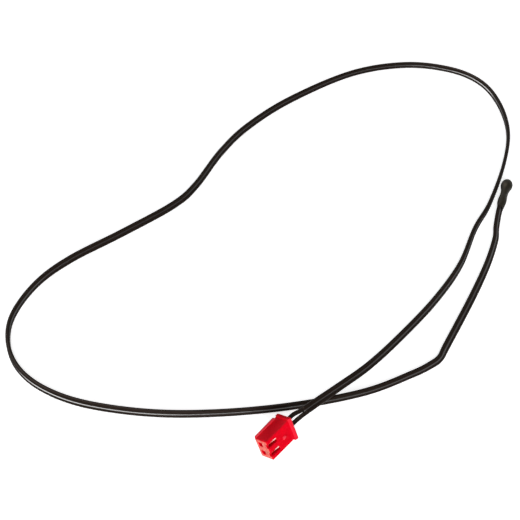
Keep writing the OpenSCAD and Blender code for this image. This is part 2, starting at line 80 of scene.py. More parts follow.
camera_data = bpy.data.cameras.new("photo_camera")
camera_data.sensor_width = SENSOR
camera_data.lens = FOCAL_IN_WIDTHS * SENSOR
camera_data.clip_start = 0.01
camera_data.clip_end = 50
camera = bpy.data.objects.new("photo_camera", camera_data)
camera.location = EYE
camera.rotation_mode = "QUATERNION"
camera.rotation_quaternion = (AIM - EYE).to_track_quat("-Z", "Y")
bpy.context.scene.collection.objects.link(camera)
bpy.context.scene.camera = camera
print("camera distance:", round((AIM - EYE).length, 3))


# %% [markdown]
# ## Route of the cord
# A twin cord is stiff across its two cores and limp the other way, so it stands half on edge and
# leans as it goes round a bend. The route is a list of places on the cord's middle line: x, y, the
# lean from standing on edge in degrees, and the lift above lying on the table. They are the same
# places as in the solid, so the smooth cord lies exactly where the plain one does.

# %% Sizes and places shared with the solids
CORE_D = 1.1
CORE_OFF = CORE_D / 2
WEB_T = 0.4
LAY_GAP = 0.02
BEAD_D, BEAD_L = 3.4, 4.7
HEAD_BACK = 10.3
HEAD_ROLL = 38
GRIP_L = 2.2
AXIS_Z = BEAD_D / 2
BEAD_Y = (HEAD_BACK - BEAD_L / 2) / 2
HEAD_END_Y = BEAD_Y - HEAD_BACK

HOUSING_L, HOUSING_W, HOUSING_T = 8.9, 5.6, 4.0
FLANGE_L, FLANGE_OUT = 1.1, 0.35
RAIL_NOSE_H, RAIL_H, RAIL_TOP_AT = 0.25, 0.5, 6.9
NOSE_CHAMFER = 0.2
PITCH = 2.5
SPLIT_L = 5.2
MOUTH_SPREAD, MIDDLE_SPREAD = 1.96, 1.62
CRIMP_LEVEL = -0.3
CRIMP_END, STRIP_AT = 7.35, 6.05
PLUG_X, PLUG_Y = -35.6, -108.7
PLUG_HEADING, PLUG_PITCH, PLUG_ROLL = -21.0, 1.0, 23.3
SPLIT_HEADING, SPLIT_ROLL, SPLIT_RISE = -29.0, 60.0, 0.4

ROUTE = [
    (0.5, -13.9, 38, 0.2), (1.2, -18.9, 39, 0), (1, -29.2, 43, 0), (-0.4, -42.9, 48, 0),
    (-3, -61.3, 43, 0), (-3.7, -66.1, 28, 0), (-5.3, -69, 20, 0), (-9, -73.5, 12, 0),
    (-18.5, -82.8, 9, 0), (-33.2, -92.4, 9, 0), (-49.5, -100.5, 9, 0), (-65.3, -106.1, 12, 0),
    (-81.3, -108.9, 15, 0), (-93, -108.1, 10, 0), (-101.9, -104.4, 5, 0), (-108.3, -97.8, 0, 0),
    (-111.7, -88.9, -10, 0), (-111.2, -76.8, -13, 0), (-106.9, -65.4, -32, 0), (-97.9, -51, -45, 0),
    (-89, -35.7, -46, 0), (-86, -25.6, -37, 0), (-84.5, -8.9, -33, 0), (-81.1, 5.7, -31, 0),
    (-72.9, 23.4, -24, 0), (-58.5, 43.4, -7, 0), (-43.1, 54, 1, 0), (-28.4, 56.4, 4, 0),
    (-17.5, 52.7, -2, 0), (-9.6, 43.2, -3, 0), (-4.2, 29.6, 4, 0), (-2.6, 13.6, -3, 0),
    (-3.2, -4.7, 0, 0), (-5, -16.6, 9, 0), (-5.9, -32.1, 21, 0), (-9.3, -46.9, 30, 0),
    (-14.5, -62.1, 30, 0.3), (-19.5, -75.5, 31, 1.6), (-24.6, -85.4, 33, 2.45),
]


def turned(degrees, axis):
    return Matrix.Rotation(math.radians(degrees), 4, axis)


lean = math.radians(PLUG_ROLL)
rise = math.radians(PLUG_PITCH)


def rest_on(out, along):
    """Height of the mating face's middle if the plug lies on a place that stands out this far."""
    down = (HOUSING_W / 2 + out) * math.cos(lean) + HOUSING_T / 2 * math.sin(lean)
    return down * math.cos(rise) - along * math.sin(rise)


# the plug lies on an end of its lower rail or on its flange
plug_rest = max(rest_on(RAIL_NOSE_H, NOSE_CHAMFER * 1.5), rest_on(RAIL_H, RAIL_TOP_AT),
                rest_on(FLANGE_OUT, HOUSING_L - FLANGE_L))
plug_place = (Matrix.Translation((PLUG_X, PLUG_Y, plug_rest))
              @ turned(PLUG_HEADING, "Z") @ turned(PLUG_PITCH, "X") @ turned(-PLUG_ROLL, "Y"))


def plug_point(across, along, row):
    """Point of the plug in mm, across its thickness, along it from the mating face, along the row."""
    return plug_place @ Vector((across, along, row))


print("plug rests at", round(plug_rest, 3), "mm")

# %% [markdown]
# ## A smooth line through the places
# The line is a uniform Catmull-Rom curve: it passes through every place and carries the lean and the
# spread of the cores along with it. A lead-in and a lead-out place outside the two ends give it the
# direction in which it leaves the bead and enters the plug.

# %% Line through places
LEAST_RINGS = 3  # on each stretch between two places
CORD_STEP, TAIL_STEP = 0.7, 0.35  # mm between rings


def knot(point, lean_deg, off):
    return (point[0], point[1], point[2], lean_deg, off)


def led(line, way_in, way_out):
    """The places with a lead-in and a lead-out, so that the ends run exactly the given ways."""
    def span(a, b):
        return math.dist(a[:3], b[:3])

    first, last = span(line[0], line[1]), span(line[-2], line[-1])
    before = [c - 2 * first * w for c, w in zip(line[1], (*way_in, 0, 0))]
    after = [c + 2 * last * w for c, w in zip(line[-2], (*way_out, 0, 0))]
    return [before, *line, after]


def on_line(four, t):
    """Place and direction on the stretch between the middle two of four places."""
    place, way = [], []
    for a, b, c, d in zip(*four):
        k1, k2, k3 = c - a, 2 * a - 5 * b + 4 * c - d, 3 * b - a - 3 * c + d
        place.append(0.5 * (2 * b + k1 * t + k2 * t * t + k3 * t ** 3))
        way.append(0.5 * (k1 + 2 * k2 * t + 3 * k3 * t * t))
    return place, Vector(way[:3]).normalized()


def sampled(line, step):
    """Places and directions along a led line, at most step millimetres apart."""
    found = []
    for i in range(1, len(line) - 2):
        n = max(LEAST_RINGS, math.ceil(math.dist(line[i][:3], line[i + 1][:3]) / step))
        found += [on_line(line[i - 1:i + 3], k / n) for k in range(n)]
    found.append(on_line(line[-4:], 1.0))
    return found


way_in = Vector((0, -1, 0))
split_heading = math.radians(SPLIT_HEADING)
way_split = Vector((math.sin(split_heading), -math.cos(split_heading), 0))
cord_start = knot((0, HEAD_END_Y, AXIS_Z), HEAD_ROLL, CORE_OFF)
cord_end = knot(plug_point(SPLIT_RISE, HOUSING_L + SPLIT_L, 0), SPLIT_ROLL, CORE_OFF)


def lying(x, y, roll, lift):
    """Knot of the cord lying on the table, lifted clear of it by so much."""
    height = CORE_OFF * (1 + math.cos(math.radians(roll))) + lift + LAY_GAP
    return knot((x, y, height), roll, CORE_OFF)


route_knots = [cord_start, *(lying(*place) for place in ROUTE), cord_end]
cord_line = sampled(led(route_knots, way_in, way_split), CORD_STEP)
inside_bead = list(cord_start)
inside_bead[1] += GRIP_L
cord_line.insert(0, (inside_bead, way_in))

# %% [markdown]
# ## Twin cord
# Two round cores are extruded side by side in one pull of soft plastic, with a thin web between
# them, so the outline is a figure of eight with two shallow grooves. A bevelled curve could carry an
# outline, but its twist would be Blender's own. So the outline is laid ring by ring along the line,
# square to it and leaning as the route says, and the rings are joined. The mesh gets a UV map that
# counts metres along the cord and round it, for the drawn lines in its plastic.

# %% Tube swept along a line
CORE_SIDES = 26


def square_to(way):
    up = (Vector((0, 0, 1)) - way * way.z).normalized()
    return up, way.cross(up)


def laid(outline, place, way):
    """Outline points in mm, turned square to the way at a place."""
    up, side = square_to(way)
    roll = math.radians(place[3])
    u = math.cos(roll) * up + math.sin(roll) * side
    w = way.cross(u)
    return [Vector(place[:3]) + a * u + b * w for a, b in outline]


def swept(name, line, outline_of):
    """Closed tube through the outline at each place of a line, with its UV map in metres."""
    rings = [laid(outline_of(place), place, way) for place, way in line]
    n = len(rings[0])
    verts = [tuple(p * MM) for ring in rings for p in ring]
    faces = [tuple(range(n)), tuple((len(rings) - 1) * n + k for k in reversed(range(n)))]
    for j in range(len(rings) - 1):
        for k in range(n):
            a, b = j * n + k, j * n + (k + 1) % n
            faces.append((a, a + n, b + n, b))
    mesh = bpy.data.meshes.new(name)
    mesh.from_pydata(verts, [], faces)
    gone = [0.0]
    for (a, _), (b, _) in zip(line, line[1:]):
        gone.append(gone[-1] + math.dist(a[:3], b[:3]) * MM)
    round_it = [0.0]
    for k in range(n):
        round_it.append(round_it[-1] + (rings[0][k] - rings[0][(k + 1) % n]).length * MM)
    uv = mesh.uv_layers.new(name="along").data
    for polygon in mesh.polygons:
        closes = polygon.index > 1 and (polygon.index - 2) % n == n - 1
        for loop in polygon.loop_indices:
            j, k = divmod(mesh.loops[loop].vertex_index, n)
            uv[loop].uv = (round_it[n if closes and k == 0 else k], gone[j])
    mesh.polygons.foreach_set("use_smooth", [len(p.vertices) == 4 for p in mesh.polygons])
    tube = bpy.data.objects.new(name, mesh)
    bpy.context.scene.collection.objects.link(tube)
    return tube


def round_outline(centre, radius):
    angles = [math.radians(360 * k / CORE_SIDES) for k in range(CORE_SIDES)]
    return [(centre + radius * math.cos(a), radius * math.sin(a)) for a in angles]


# each arc stops where a fillet that leaves the web its thickness would touch its core
fillet = (WEB_T / 2) ** 2 / (CORE_D - WEB_T)
groove = math.degrees(math.atan2(WEB_T / 2 + fillet, CORE_OFF))
core_arc = 360 - 2 * groove
twin_outline = []
for side, arc_from in ((1, groove - 180), (-1, groove)):
    for k in range(CORE_SIDES + 1):
        angle = math.radians(arc_from + core_arc * k / CORE_SIDES)
        twin_outline.append((CORE_OFF * (side + math.cos(angle)), CORE_OFF * math.sin(angle)))
    twin_outline.append((0.0, side * WEB_T / 2))

twin_cord = swept("twin_cord", cord_line, lambda place: twin_outline)
print("twin cord faces:", len(twin_cord.data.polygons))

# %% [markdown]
# ## Two cores behind the plug
# Behind the plug the web is torn open and the two cores run apart to the pitch of the contacts, each
# a round wire of its own. They start where the twin cord ends, spread along a short smooth line, and
# go straight into their crimps.

# %% Core tails
TAIL_R = CORE_OFF - 0.003  # a hair thinner than a core, so that it clears its crimp
tail_way = (plug_place.to_3x3() @ Vector((0, -1, 0))).normalized()


def tail_knot(along, lean_deg, spread):
    """Knot behind or in the plug, with the middles of the two cores this far apart."""
    return knot(plug_point(CRIMP_LEVEL, along, 0), lean_deg, spread / 2)


tail_places = [
    cord_end,
    tail_knot(HOUSING_L + SPLIT_L / 2, (SPLIT_ROLL + PLUG_ROLL) / 2, MIDDLE_SPREAD),
    tail_knot(HOUSING_L, PLUG_ROLL, MOUTH_SPREAD),
    tail_knot(CRIMP_END, PLUG_ROLL, PITCH),
]
tail_line = sampled(led(tail_places, way_split, tail_way), TAIL_STEP)
tail_line.append((tail_knot(STRIP_AT, PLUG_ROLL, PITCH), tail_way))


def core_tail(name, side):
    """One core as a round wire; side is 1 or -1 along the plug's row."""
    return swept(name, tail_line, lambda place: round_outline(side * place[4], TAIL_R))


core_a = core_tail("core_a", 1)
core_b = core_tail("core_b", -1)
print("core tails:", len(core_a.data.polygons), len(core_b.data.polygons))


# %% [markdown]
# ## Sensing head
# The chip and its joints are dipped in epoxy, which draws itself round: a drop over the chip, a neck
# over the bare leads, a swelling over the solder joints, and a skin that thins out on the cord. A
# lathe of the outline would do for the round part, but the rear end is flat like the cord, so a
# ring is extruded back step by step and scaled at each step, wider one way than the other.

# %% Helpers for modelling by operators


def only(obj):
    """Makes obj the only selected and active object."""
    bpy.ops.object.select_all(action="DESELECT")
    obj.select_set(True)
    bpy.context.view_layer.objects.active = obj


def placed(obj, matrix_mm):
    """Bakes a place given in mm into the mesh of an object that was modelled in mm."""
    obj.data.transform(Matrix.Scale(MM, 4) @ matrix_mm @ obj.matrix_world)
    obj.matrix_world = Matrix.Identity(4)
    obj.data.update()


# %% Outline of the dipped epoxy
NECK_D, NECK_BACK = 2.2, 4.4
SWELL_D, SWELL_BACK = 2.56, 6.9
TAPER_D, TAPER_BACK = 2.4, 8.4
SKIN_T = 0.12
BEAD_RUN = 0.45  # share of the bead's half length behind its middle that stays a true drop
BEAD_STEPS, NECK_STEPS, SWELL_STEPS, TAPER_STEPS, SKIN_STEPS = 18, 10, 10, 4, 6


def mix(a, b, t):
    return a + (b - a) * t


def shares(steps):
    return [k / steps for k in range(1, steps + 1)]


def eased(r1, slope, r2, length, t):
    """Radius that leaves r1 with a slope and arrives at r2 level."""
    return ((2 * t ** 3 - 3 * t * t + 1) * r1 + (t ** 3 - 2 * t * t + t) * length * slope
            + (3 * t * t - 2 * t ** 3) * r2)


def head_outline():
    """(half width along the cores, half width across them, distance behind the bead's middle)."""
    rows = []
    last_angle = math.acos(-BEAD_RUN)
    for t in shares(BEAD_STEPS):
        a = last_angle * t
        rows.append((BEAD_D / 2 * math.sin(a), -BEAD_L / 2 * math.cos(a)))
    run_back = BEAD_RUN * BEAD_L / 2
    run_r = BEAD_D / 2 * math.sqrt(1 - BEAD_RUN ** 2)
    run_slope = -BEAD_D / BEAD_L * BEAD_RUN / math.sqrt(1 - BEAD_RUN ** 2)
    for t in shares(NECK_STEPS):
        rows.append((eased(run_r, run_slope, NECK_D / 2, NECK_BACK - run_back, t),
                     mix(run_back, NECK_BACK, t)))
    for t in shares(SWELL_STEPS):
        rows.append((mix(NECK_D / 2, SWELL_D / 2, (1 - math.cos(math.pi * t)) / 2),
                     mix(NECK_BACK, SWELL_BACK, t)))
    for t in shares(TAPER_STEPS):
        rows.append((mix(SWELL_D / 2, TAPER_D / 2, 1 - math.cos(math.pi / 2 * t)),
                     mix(SWELL_BACK, TAPER_BACK, t)))
    rows = [(r, r, back) for r, back in rows]
    for t in shares(SKIN_STEPS):
        rows.append((mix(TAPER_D / 2, 2 * CORE_OFF + SKIN_T, t),
                     mix(TAPER_D / 2, CORE_OFF + SKIN_T, t), mix(TAPER_BACK, HEAD_BACK, t)))
    return rows


# %% Epoxy, ring by ring
HEAD_SIDES = 40
HAIR = 1e-4  # mm, for telling the first ring's level from the rest

bpy.ops.object.select_all(action="DESELECT")
outline = head_outline()
tip_back = outline[0][2]
bpy.ops.mesh.primitive_circle_add(vertices=HEAD_SIDES, radius=outline[0][0],
                                  location=(0, 0, tip_back))
epoxy = bpy.context.active_object
epoxy.name = epoxy.data.name = "epoxy"
bpy.ops.object.mode_set(mode="EDIT")
bpy.ops.mesh.select_mode(type="EDGE")
bpy.ops.mesh.select_all(action="SELECT")
for (w0, t0, b0), (w1, t1, b1) in zip(outline, outline[1:]):
    bpy.ops.mesh.extrude_region_move(TRANSFORM_OT_translate={"value": (0, 0, b1 - b0)})
    bpy.ops.transform.resize(value=(t1 / t0, w1 / w0, 1), center_override=(0, 0, b1))
bpy.ops.mesh.edge_face_add()
bpy.ops.object.mode_set(mode="OBJECT")
for edge in epoxy.data.edges:
    edge.select = all(abs(epoxy.data.vertices[v].co.z) < HAIR for v in edge.vertices)
bpy.ops.object.mode_set(mode="EDIT")
bpy.ops.mesh.extrude_region_move(TRANSFORM_OT_translate={"value": (0, 0, -BEAD_L / 2 - tip_back)})
bpy.ops.mesh.merge(type="CENTER")
bpy.ops.mesh.select_all(action="SELECT")
bpy.ops.mesh.normals_make_consistent(inside=False)
bpy.ops.object.mode_set(mode="OBJECT")
print("epoxy faces:", len(epoxy.data.polygons))

# %% Set the epoxy in its place
HEAD_SMOOTH = math.radians(50)

head_place = Matrix.Translation((0, BEAD_Y, AXIS_Z)) @ turned(-HEAD_ROLL, "Y") @ turned(90, "X")
placed(epoxy, head_place)
only(epoxy)
bpy.ops.object.shade_smooth_by_angle(angle=HEAD_SMOOTH)
print("epoxy box:", [round(x / MM, 2) for x in epoxy.dimensions])


# %% [markdown]
# ## Plug housing
# The housing is one moulded block with a flange, two rails, two windows and two pin entries, and its
# solid already has that shape. What it lacks is the small round that every mould leaves on an edge,
# and that round is what catches the light. So the solid's mesh is copied, its loose triangles are
# merged into flat faces, and a bevel rounds every edge. The rounds get a paler finish of their own: a
# painted highlight along each edge, partly also the glow of the thin plastic there.

# %% Housing with rounded edges
EDGE_ROUND = 0.07 * MM
SAME_POINT = 0.001 * MM
FLAT_UNDER, EDGE_OVER = math.radians(1), math.radians(30)

only(nodes["plug_housing"])
bpy.ops.object.duplicate()
shell = bpy.context.active_object
shell.name = shell.data.name = "plug_shell"
del shell["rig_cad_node"]
bpy.ops.object.mode_set(mode="EDIT")
bpy.ops.mesh.select_all(action="SELECT")
bpy.ops.mesh.remove_doubles(threshold=SAME_POINT)
bpy.ops.mesh.dissolve_limited(angle_limit=FLAT_UNDER)
bpy.ops.object.mode_set(mode="OBJECT")
rounds = shell.modifiers.new("edge rounds", "BEVEL")
rounds.width = EDGE_ROUND
rounds.segments = 2
rounds.limit_method = "ANGLE"
rounds.angle_limit = EDGE_OVER
# the rounds take the paler edge finish, a painted highlight along each edge
rounds.material = 1  # second finish of the housing
print("housing faces before the rounds:", len(shell.data.polygons))


# %% [markdown]
# ## Finishes
# Each finish is a Principled shader whose colour, roughness and bump come from noise at the scale of
# the real surface. The helpers below add a node, wire it, and mix two colours by a noise, so that a
# finish reads as a short recipe. Numbers that are the same all over a surface stay on the shader.

# %% Helpers for finishes


def finish(name, colour, roughness, **settings):
    """New material with a Principled shader; settings name its other sockets, _ for a space."""
    material = bpy.data.materials.new(name)
    material.use_nodes = True
    shader = material.node_tree.nodes["Principled BSDF"]
    shader.inputs["Base Color"].default_value = (*colour, 1)
    shader.inputs["Roughness"].default_value = roughness
    for socket, value in settings.items():
        shader.inputs[socket.replace("_", " ")].default_value = value
    material.diffuse_color = (*colour, 1)
    return material, shader


def added(material, kind, **inputs):
    node = material.node_tree.nodes.new("ShaderNode" + kind)
    for socket, value in inputs.items():
        node.inputs[socket.replace("_", " ")].default_value = value
    return node


def wired(material, source, target):
    material.node_tree.links.new(source, target)


def on_object(material):
    return added(material, "TexCoord").outputs["Object"]


def on_cord(material):
    """The cord's own UV map: metres round its section, metres along it."""
    source = added(material, "UVMap")
    source.uv_map = "along"
    return source.outputs["UV"]


def places(material, stretch, of=on_object):
    """Coordinates for a pattern, stretched by three factors."""
    mapping = added(material, "Mapping", Scale=stretch)
    wired(material, of(material), mapping.inputs["Vector"])
    return mapping.outputs["Vector"]


def noise(material, where, scale=1.0, detail=3.0, rough=0.5):
    texture = added(material, "TexNoise", Scale=scale, Detail=detail, Roughness=rough)
    wired(material, where, texture.inputs["Vector"])
    return texture.outputs["Fac"]


def ramp(material, factor, stops):
    """Colour ramp from (position, colour) stops; a single number stands for a grey."""
    node = added(material, "ValToRGB")
    elements = node.color_ramp.elements
    while len(elements) < len(stops):
        elements.new(0.5)
    for element, (position, colour) in zip(elements, stops):
        element.position = position
        element.color = (*colour, 1) if isinstance(colour, tuple) else (colour, colour, colour, 1)
    wired(material, factor, node.inputs["Fac"])
    return node.outputs["Color"]


def bump(material, shader, height, depth, strength=1.0):
    node = added(material, "Bump", Strength=strength, Distance=depth)
    wired(material, height, node.inputs["Height"])
    wired(material, node.outputs["Normal"], shader.inputs["Normal"])


# %% [markdown]
# The cord is black plasticized vinyl, drawn through a die: faint lines run along it, and handling
# leaves it a little greyer here and there. The noise is stretched along the cord through its UV map,
# which counts metres, so the lines follow every bend. In the photograph a light line follows the
# join of the two cores, so a narrow lane on each side of the web gets a glossy coat. The same UV map
# gives the distance round the cord from the nearest groove, which picks out that lane.

# %% Distance from the groove
rim = sum(math.dist(a, b) for a, b in zip(twin_outline, twin_outline[1:] + twin_outline[:1]))
web_to_arc = math.dist(twin_outline[-1], twin_outline[0])


def reckoned(material, operation, first, second):
    """One Math operation on a socket and a number or another socket."""
    node = added(material, "Math")
    node.operation = operation
    wired(material, first, node.inputs[0])
    if isinstance(second, float):
        node.inputs[1].default_value = second
    else:
        wired(material, second, node.inputs[1])
    return node.outputs[0]


def off_groove(material):
    """0 in the two grooves, rising to 1 at the far side of each core."""
    split = added(material, "SeparateXYZ")
    wired(material, on_cord(material), split.inputs[0])
    from_web = reckoned(material, "ADD", split.outputs[0], web_to_arc * MM)
    half_core = rim / 4 * MM
    from_groove = reckoned(material, "PINGPONG", from_web, half_core)
    return reckoned(material, "DIVIDE", from_groove, half_core)


# %% Finish of the cord
LANE = 0.165  # share of the way from a groove to the far side of its core
LANE_FADE = 0.8  # the coat ends between this share of the lane and all of it
BLACK_DEEP, BLACK = (0.007, 0.0045, 0.0035), (0.012, 0.008, 0.006)
BLACK_GREYED = (0.022, 0.015, 0.013)


def vinyl(name, with_lane):
    """Black vinyl, with the glossy lane beside the grooves where there is one."""
    material, shader = finish(name, BLACK, 0.32, Specular_IOR_Level=0.045,
                              Specular_Tint=(1.0, 0.8, 0.72, 1.0), Coat_Roughness=0.2,
                              Coat_IOR=1.85)
    drawn = noise(material, places(material, (9000, 260, 1), on_cord), detail=4, rough=0.6)
    blacks = ramp(material, drawn, [(0.32, BLACK_DEEP), (0.55, BLACK), (0.75, BLACK_GREYED)])
    wired(material, blacks, shader.inputs["Base Color"])
    scuffs = noise(material, places(material, (1500, 700, 1), on_cord), detail=5, rough=0.65)
    rough = ramp(material, scuffs, [(0.3, 0.25), (0.7, 0.42)])
    if with_lane:
        off = off_groove(material)
        rough = reckoned(material, "MULTIPLY", rough, ramp(material, off, [(0.0, 0.6), (LANE, 1.0)]))
        polish = ramp(material, off, [(LANE_FADE * LANE, 1.0), (LANE, 0.0)])
        wired(material, polish, shader.inputs["Coat Weight"])
    wired(material, rough, shader.inputs["Roughness"])
    bump(material, shader, drawn, 0.012 * MM, 0.6)
    return material


cord_pvc = vinyl("cord_pvc", False)
twin_pvc = vinyl("twin_pvc", True)
print("finishes:", cord_pvc.name, twin_pvc.name)

# %% [markdown]
# The bead is black epoxy that has run and cured by itself, with a slow swell in its surface and a
# fine dust of filler just under it. Its skin has gone dull, so it mirrors little of the white room.

# %% Finish of the epoxy
RESIN, RESIN_DEEP, FILLER = (0.012, 0.010, 0.006), (0.007, 0.006, 0.004), (0.035, 0.029, 0.02)

epoxy_black, shader = finish("epoxy_black", RESIN, 0.3, Specular_IOR_Level=0.12,
                             Specular_Tint=(1.0, 0.86, 0.68, 1.0))
grit = noise(epoxy_black, places(epoxy_black, (9000, 9000, 9000)), detail=4)
dusted = ramp(epoxy_black, grit, [(0.35, RESIN_DEEP), (0.6, RESIN), (0.78, FILLER)])
wired(epoxy_black, dusted, shader.inputs["Base Color"])
flow = noise(epoxy_black, places(epoxy_black, (700, 700, 700)), detail=2)
wired(epoxy_black, ramp(epoxy_black, flow, [(0.3, 0.36), (0.7, 0.52)]), shader.inputs["Roughness"])
bump(epoxy_black, shader, flow, 0.05 * MM, 0.5)
print("finish:", epoxy_black.name)

# %% [markdown]
# The housing is red nylon. Light goes a little way into it, so it glows from inside. It has four
# shades of one recipe: the paler ones, on the edges, the rails, the gate mark, the sloping back of
# the flange and the mating face, are painted highlight where the light falls on them, partly also the
# stronger glow of thin plastic. Its skin has an even fine grain, such as a spark-eroded mould leaves.

# %% Finish of the housing


def moulded_red(name, colour, glow, gloss, shine, cloudy):
    """Red nylon: glow is its share of light from inside, cloudy how far its colour varies."""
    material, shader = finish(name, colour, gloss, Subsurface_Weight=glow, Subsurface_Scale=0.6 * MM,
                              Subsurface_Radius=(1.0, 0.16, 0.14), Specular_IOR_Level=shine)
    cloud = noise(material, places(material, (1200, 1200, 1200)), detail=3)
    darker = tuple((1 - cloudy) * c for c in colour)
    wired(material, ramp(material, cloud, [(0.3, darker), (0.7, colour)]),
          shader.inputs["Base Color"])
    grain = noise(material, places(material, (16000, 16000, 16000)), detail=2)
    wired(material, ramp(material, grain, [(0.3, gloss - 0.06), (0.7, gloss + 0.1)]),
          shader.inputs["Roughness"])
    bump(material, shader, grain, 0.006 * MM, 0.5)
    return material


# the three paler copies after plug_red are painted highlight: on the rounds, rails and gate mark, on
# the mating face, and on the sloping back of the flange
plug_red = moulded_red("plug_red", (0.72, 0.001, 0.012), 0.06, 0.38, 0.02, 0.12)
plug_edge_highlight = moulded_red("plug_edge_highlight", (0.84, 0.035, 0.06), 0.2, 0.34, 0.1, 0.12)
plug_face_lit = moulded_red("plug_face_lit", (0.92, 0.17, 0.13), 0.3, 0.34, 0.1, 0.45)
plug_flange_lit = moulded_red("plug_flange_lit", (0.80, 0.014, 0.035), 0.12, 0.36, 0.05, 0.12)
print("finishes:", plug_red.name, plug_edge_highlight.name, plug_face_lit.name, plug_flange_lit.name)

# %% [markdown]
# The metal and the ceramic inside are seen only through the windows and the entries, or when someone
# cuts the model open, and they are finished plainly: tin plate with rolling lines, drawn tinned wire,
# bunched copper strands, dull solder and a speckled ceramic. The tin is tinted pink, a painted
# reflection of the red housing round it. In the photograph each contact shows one thin bright line in
# its window and is dark beside it, where it mirrors the walls of its cavity. So the tin has a painted
# reflection and shade: it is bright along one side of each contact and painted dark red along the
# other, by the distance along the plug's row.

# %% Finishes of the inner pieces


def metal(name, colour, roughness, stretch, spread):
    """Bare metal with fine lines, whose roughness varies by spread either way."""
    material, shader = finish(name, colour, roughness, Metallic=1.0)
    lines = noise(material, places(material, stretch), detail=3)
    dull = tuple(0.75 * c for c in colour)
    wired(material, ramp(material, lines, [(0.3, dull), (0.7, colour)]), shader.inputs["Base Color"])
    wired(material, ramp(material, lines, [(0.3, roughness - spread), (0.7, roughness + spread)]),
          shader.inputs["Roughness"])
    bump(material, shader, lines, 0.004 * MM, 0.5)
    return material


def off_contact(material):
    """Place along the plug's row as a share of the pitch, 0.5 at the middle of each contact."""
    row_way = plug_place.to_3x3() @ Vector((0, 0, 1))
    along_row = added(material, "VectorMath")
    along_row.operation = "DOT_PRODUCT"
    wired(material, on_object(material), along_row.inputs[0])
    along_row.inputs[1].default_value = row_way / MM
    from_plug = PITCH - row_way.dot(plug_place.translation)
    row = reckoned(material, "ADD", along_row.outputs["Value"], from_plug)
    in_pitch = reckoned(material, "FLOORED_MODULO", row, PITCH)
    return reckoned(material, "DIVIDE", in_pitch, PITCH)


# a Mix node has sockets for each kind of value, and these are the ones for colours
MIX_SHARE, MIX_A, MIX_B, MIX_RESULT = 0, 6, 7, 2


def painted_reflection_side(material, colour):
    """Paints one side of each contact dark red, a painted reflection of its cavity's walls and their
    shade.
    """
    base = material.node_tree.nodes["Principled BSDF"].inputs["Base Color"]
    blend = added(material, "Mix")
    blend.data_type = "RGBA"
    share = ramp(material, off_contact(material), [(0.46, 1.0), (0.50, 0.0)])
    wired(material, share, blend.inputs[MIX_SHARE])
    wired(material, base.links[0].from_socket, blend.inputs[MIX_A])
    blend.inputs[MIX_B].default_value = (*colour, 1)
    wired(material, blend.outputs[MIX_RESULT], base)


# the tin's pink tint is a painted reflection of the red housing; the dark red side is painted
# reflection and shade
contact_tin = metal("contact_tin", (0.98, 0.80, 0.74), 0.28, (9000, 1500, 9000), 0.06)
painted_reflection_side(contact_tin, (0.48, 0.03, 0.02))
tinned_wire = metal("tinned_wire", (0.78, 0.77, 0.74), 0.32, (9000, 900, 9000), 0.08)
copper = metal("copper", (0.86, 0.46, 0.28), 0.34, (12000, 700, 12000), 0.1)
solder = metal("solder", (0.66, 0.67, 0.69), 0.42, (3000, 3000, 3000), 0.12)
ceramic, shader = finish("ceramic", (0.2, 0.18, 0.16), 0.7)
speckle = noise(ceramic, places(ceramic, (12000, 12000, 12000)), detail=4)
wired(ceramic, ramp(ceramic, speckle, [(0.35, (0.11, 0.10, 0.09)), (0.7, (0.27, 0.24, 0.21))]),
      shader.inputs["Base Color"])
print("inner finishes:", *(m.name for m in (contact_tin, tinned_wire, copper, solder, ceramic)))

# %% [markdown]
# Every solid takes the finish that the record names for it, also those that a dressed piece stands
# for, so that nothing is left in a plain colour.

# %% Finishes on the pieces
FINISH_OF_SLOT = {
    "epoxy": epoxy_black, "ceramic": ceramic, "solder": solder, "tinned_wire": tinned_wire,
    "copper": copper, "cord_pvc": cord_pvc, "plug_red": plug_red, "contact_tin": contact_tin,
}
SLOT_OF_START = {
    "epoxy_head": "epoxy", "thermistor_chip": "ceramic", "chip_solder": "solder",
    "splice_solder": "solder", "lead_": "tinned_wire", "head_conductor": "copper",
    "plug_conductor": "copper", "twin_cable": "cord_pvc", "core_tail": "cord_pvc",
    "plug_housing": "plug_red", "terminal": "contact_tin",
}


def painted(obj, *materials):
    obj.data.materials.clear()
    for material in materials:
        obj.data.materials.append(material)


for name, solid in nodes.items():
    slot = next(SLOT_OF_START[start] for start in SLOT_OF_START if name.startswith(start))
    painted(solid, FINISH_OF_SLOT[slot])
for piece in (core_a, core_b):
    painted(piece, cord_pvc)
painted(twin_cord, twin_pvc)
painted(epoxy, epoxy_black)
painted(shell, plug_red, plug_edge_highlight, plug_face_lit, plug_flange_lit)
print("solids finished:", len(nodes))

# %% [markdown]
# Two places of the housing look a little different in the photograph: the two pin entries are wider,
# as worn ones are, and the gate mark is drawn out towards the mating face. Both are reshaped in the
# plug's own frame. Each flat face then gets a painted shade by where it lies: the mating face is
# palest, the rails and the gate mark are pale, and the sloping back of the flange lies between, all
# painted highlight where the light falls on them. Last the rounds are applied, and the housing is
# shaded smooth across them, flat elsewhere.

# %% Worn places, shades and rounds
FLANGE_AT = HOUSING_L - FLANGE_L
GATE_AT, GATE_ROW, GATE_D = 5.4, -0.1, 0.7
GATE_BACK = GATE_AT + GATE_D / 2
GATE_LONGER, GATE_WIDER = 2.0, 1.4
ENTRY_LEVEL, ENTRY_REACH, ENTRY_DEPTH = -0.53, 0.54, 0.9
ENTRY_WIDER = 1.25
# DEEP is the plain red; PALE, PALEST and BETWEEN are painted highlight
DEEP, PALE, PALEST, BETWEEN = range(4)  # in the order of the housing's finishes
FRONT_SLICE, RAIL_FROM = 0.1, 0.05  # mm from the mating face, mm past the narrow side
SQUARE_ON = 0.95  # of a normal that looks out of the mating face
HOUSING_SMOOTH = math.radians(32)
into_plug = plug_place.inverted()


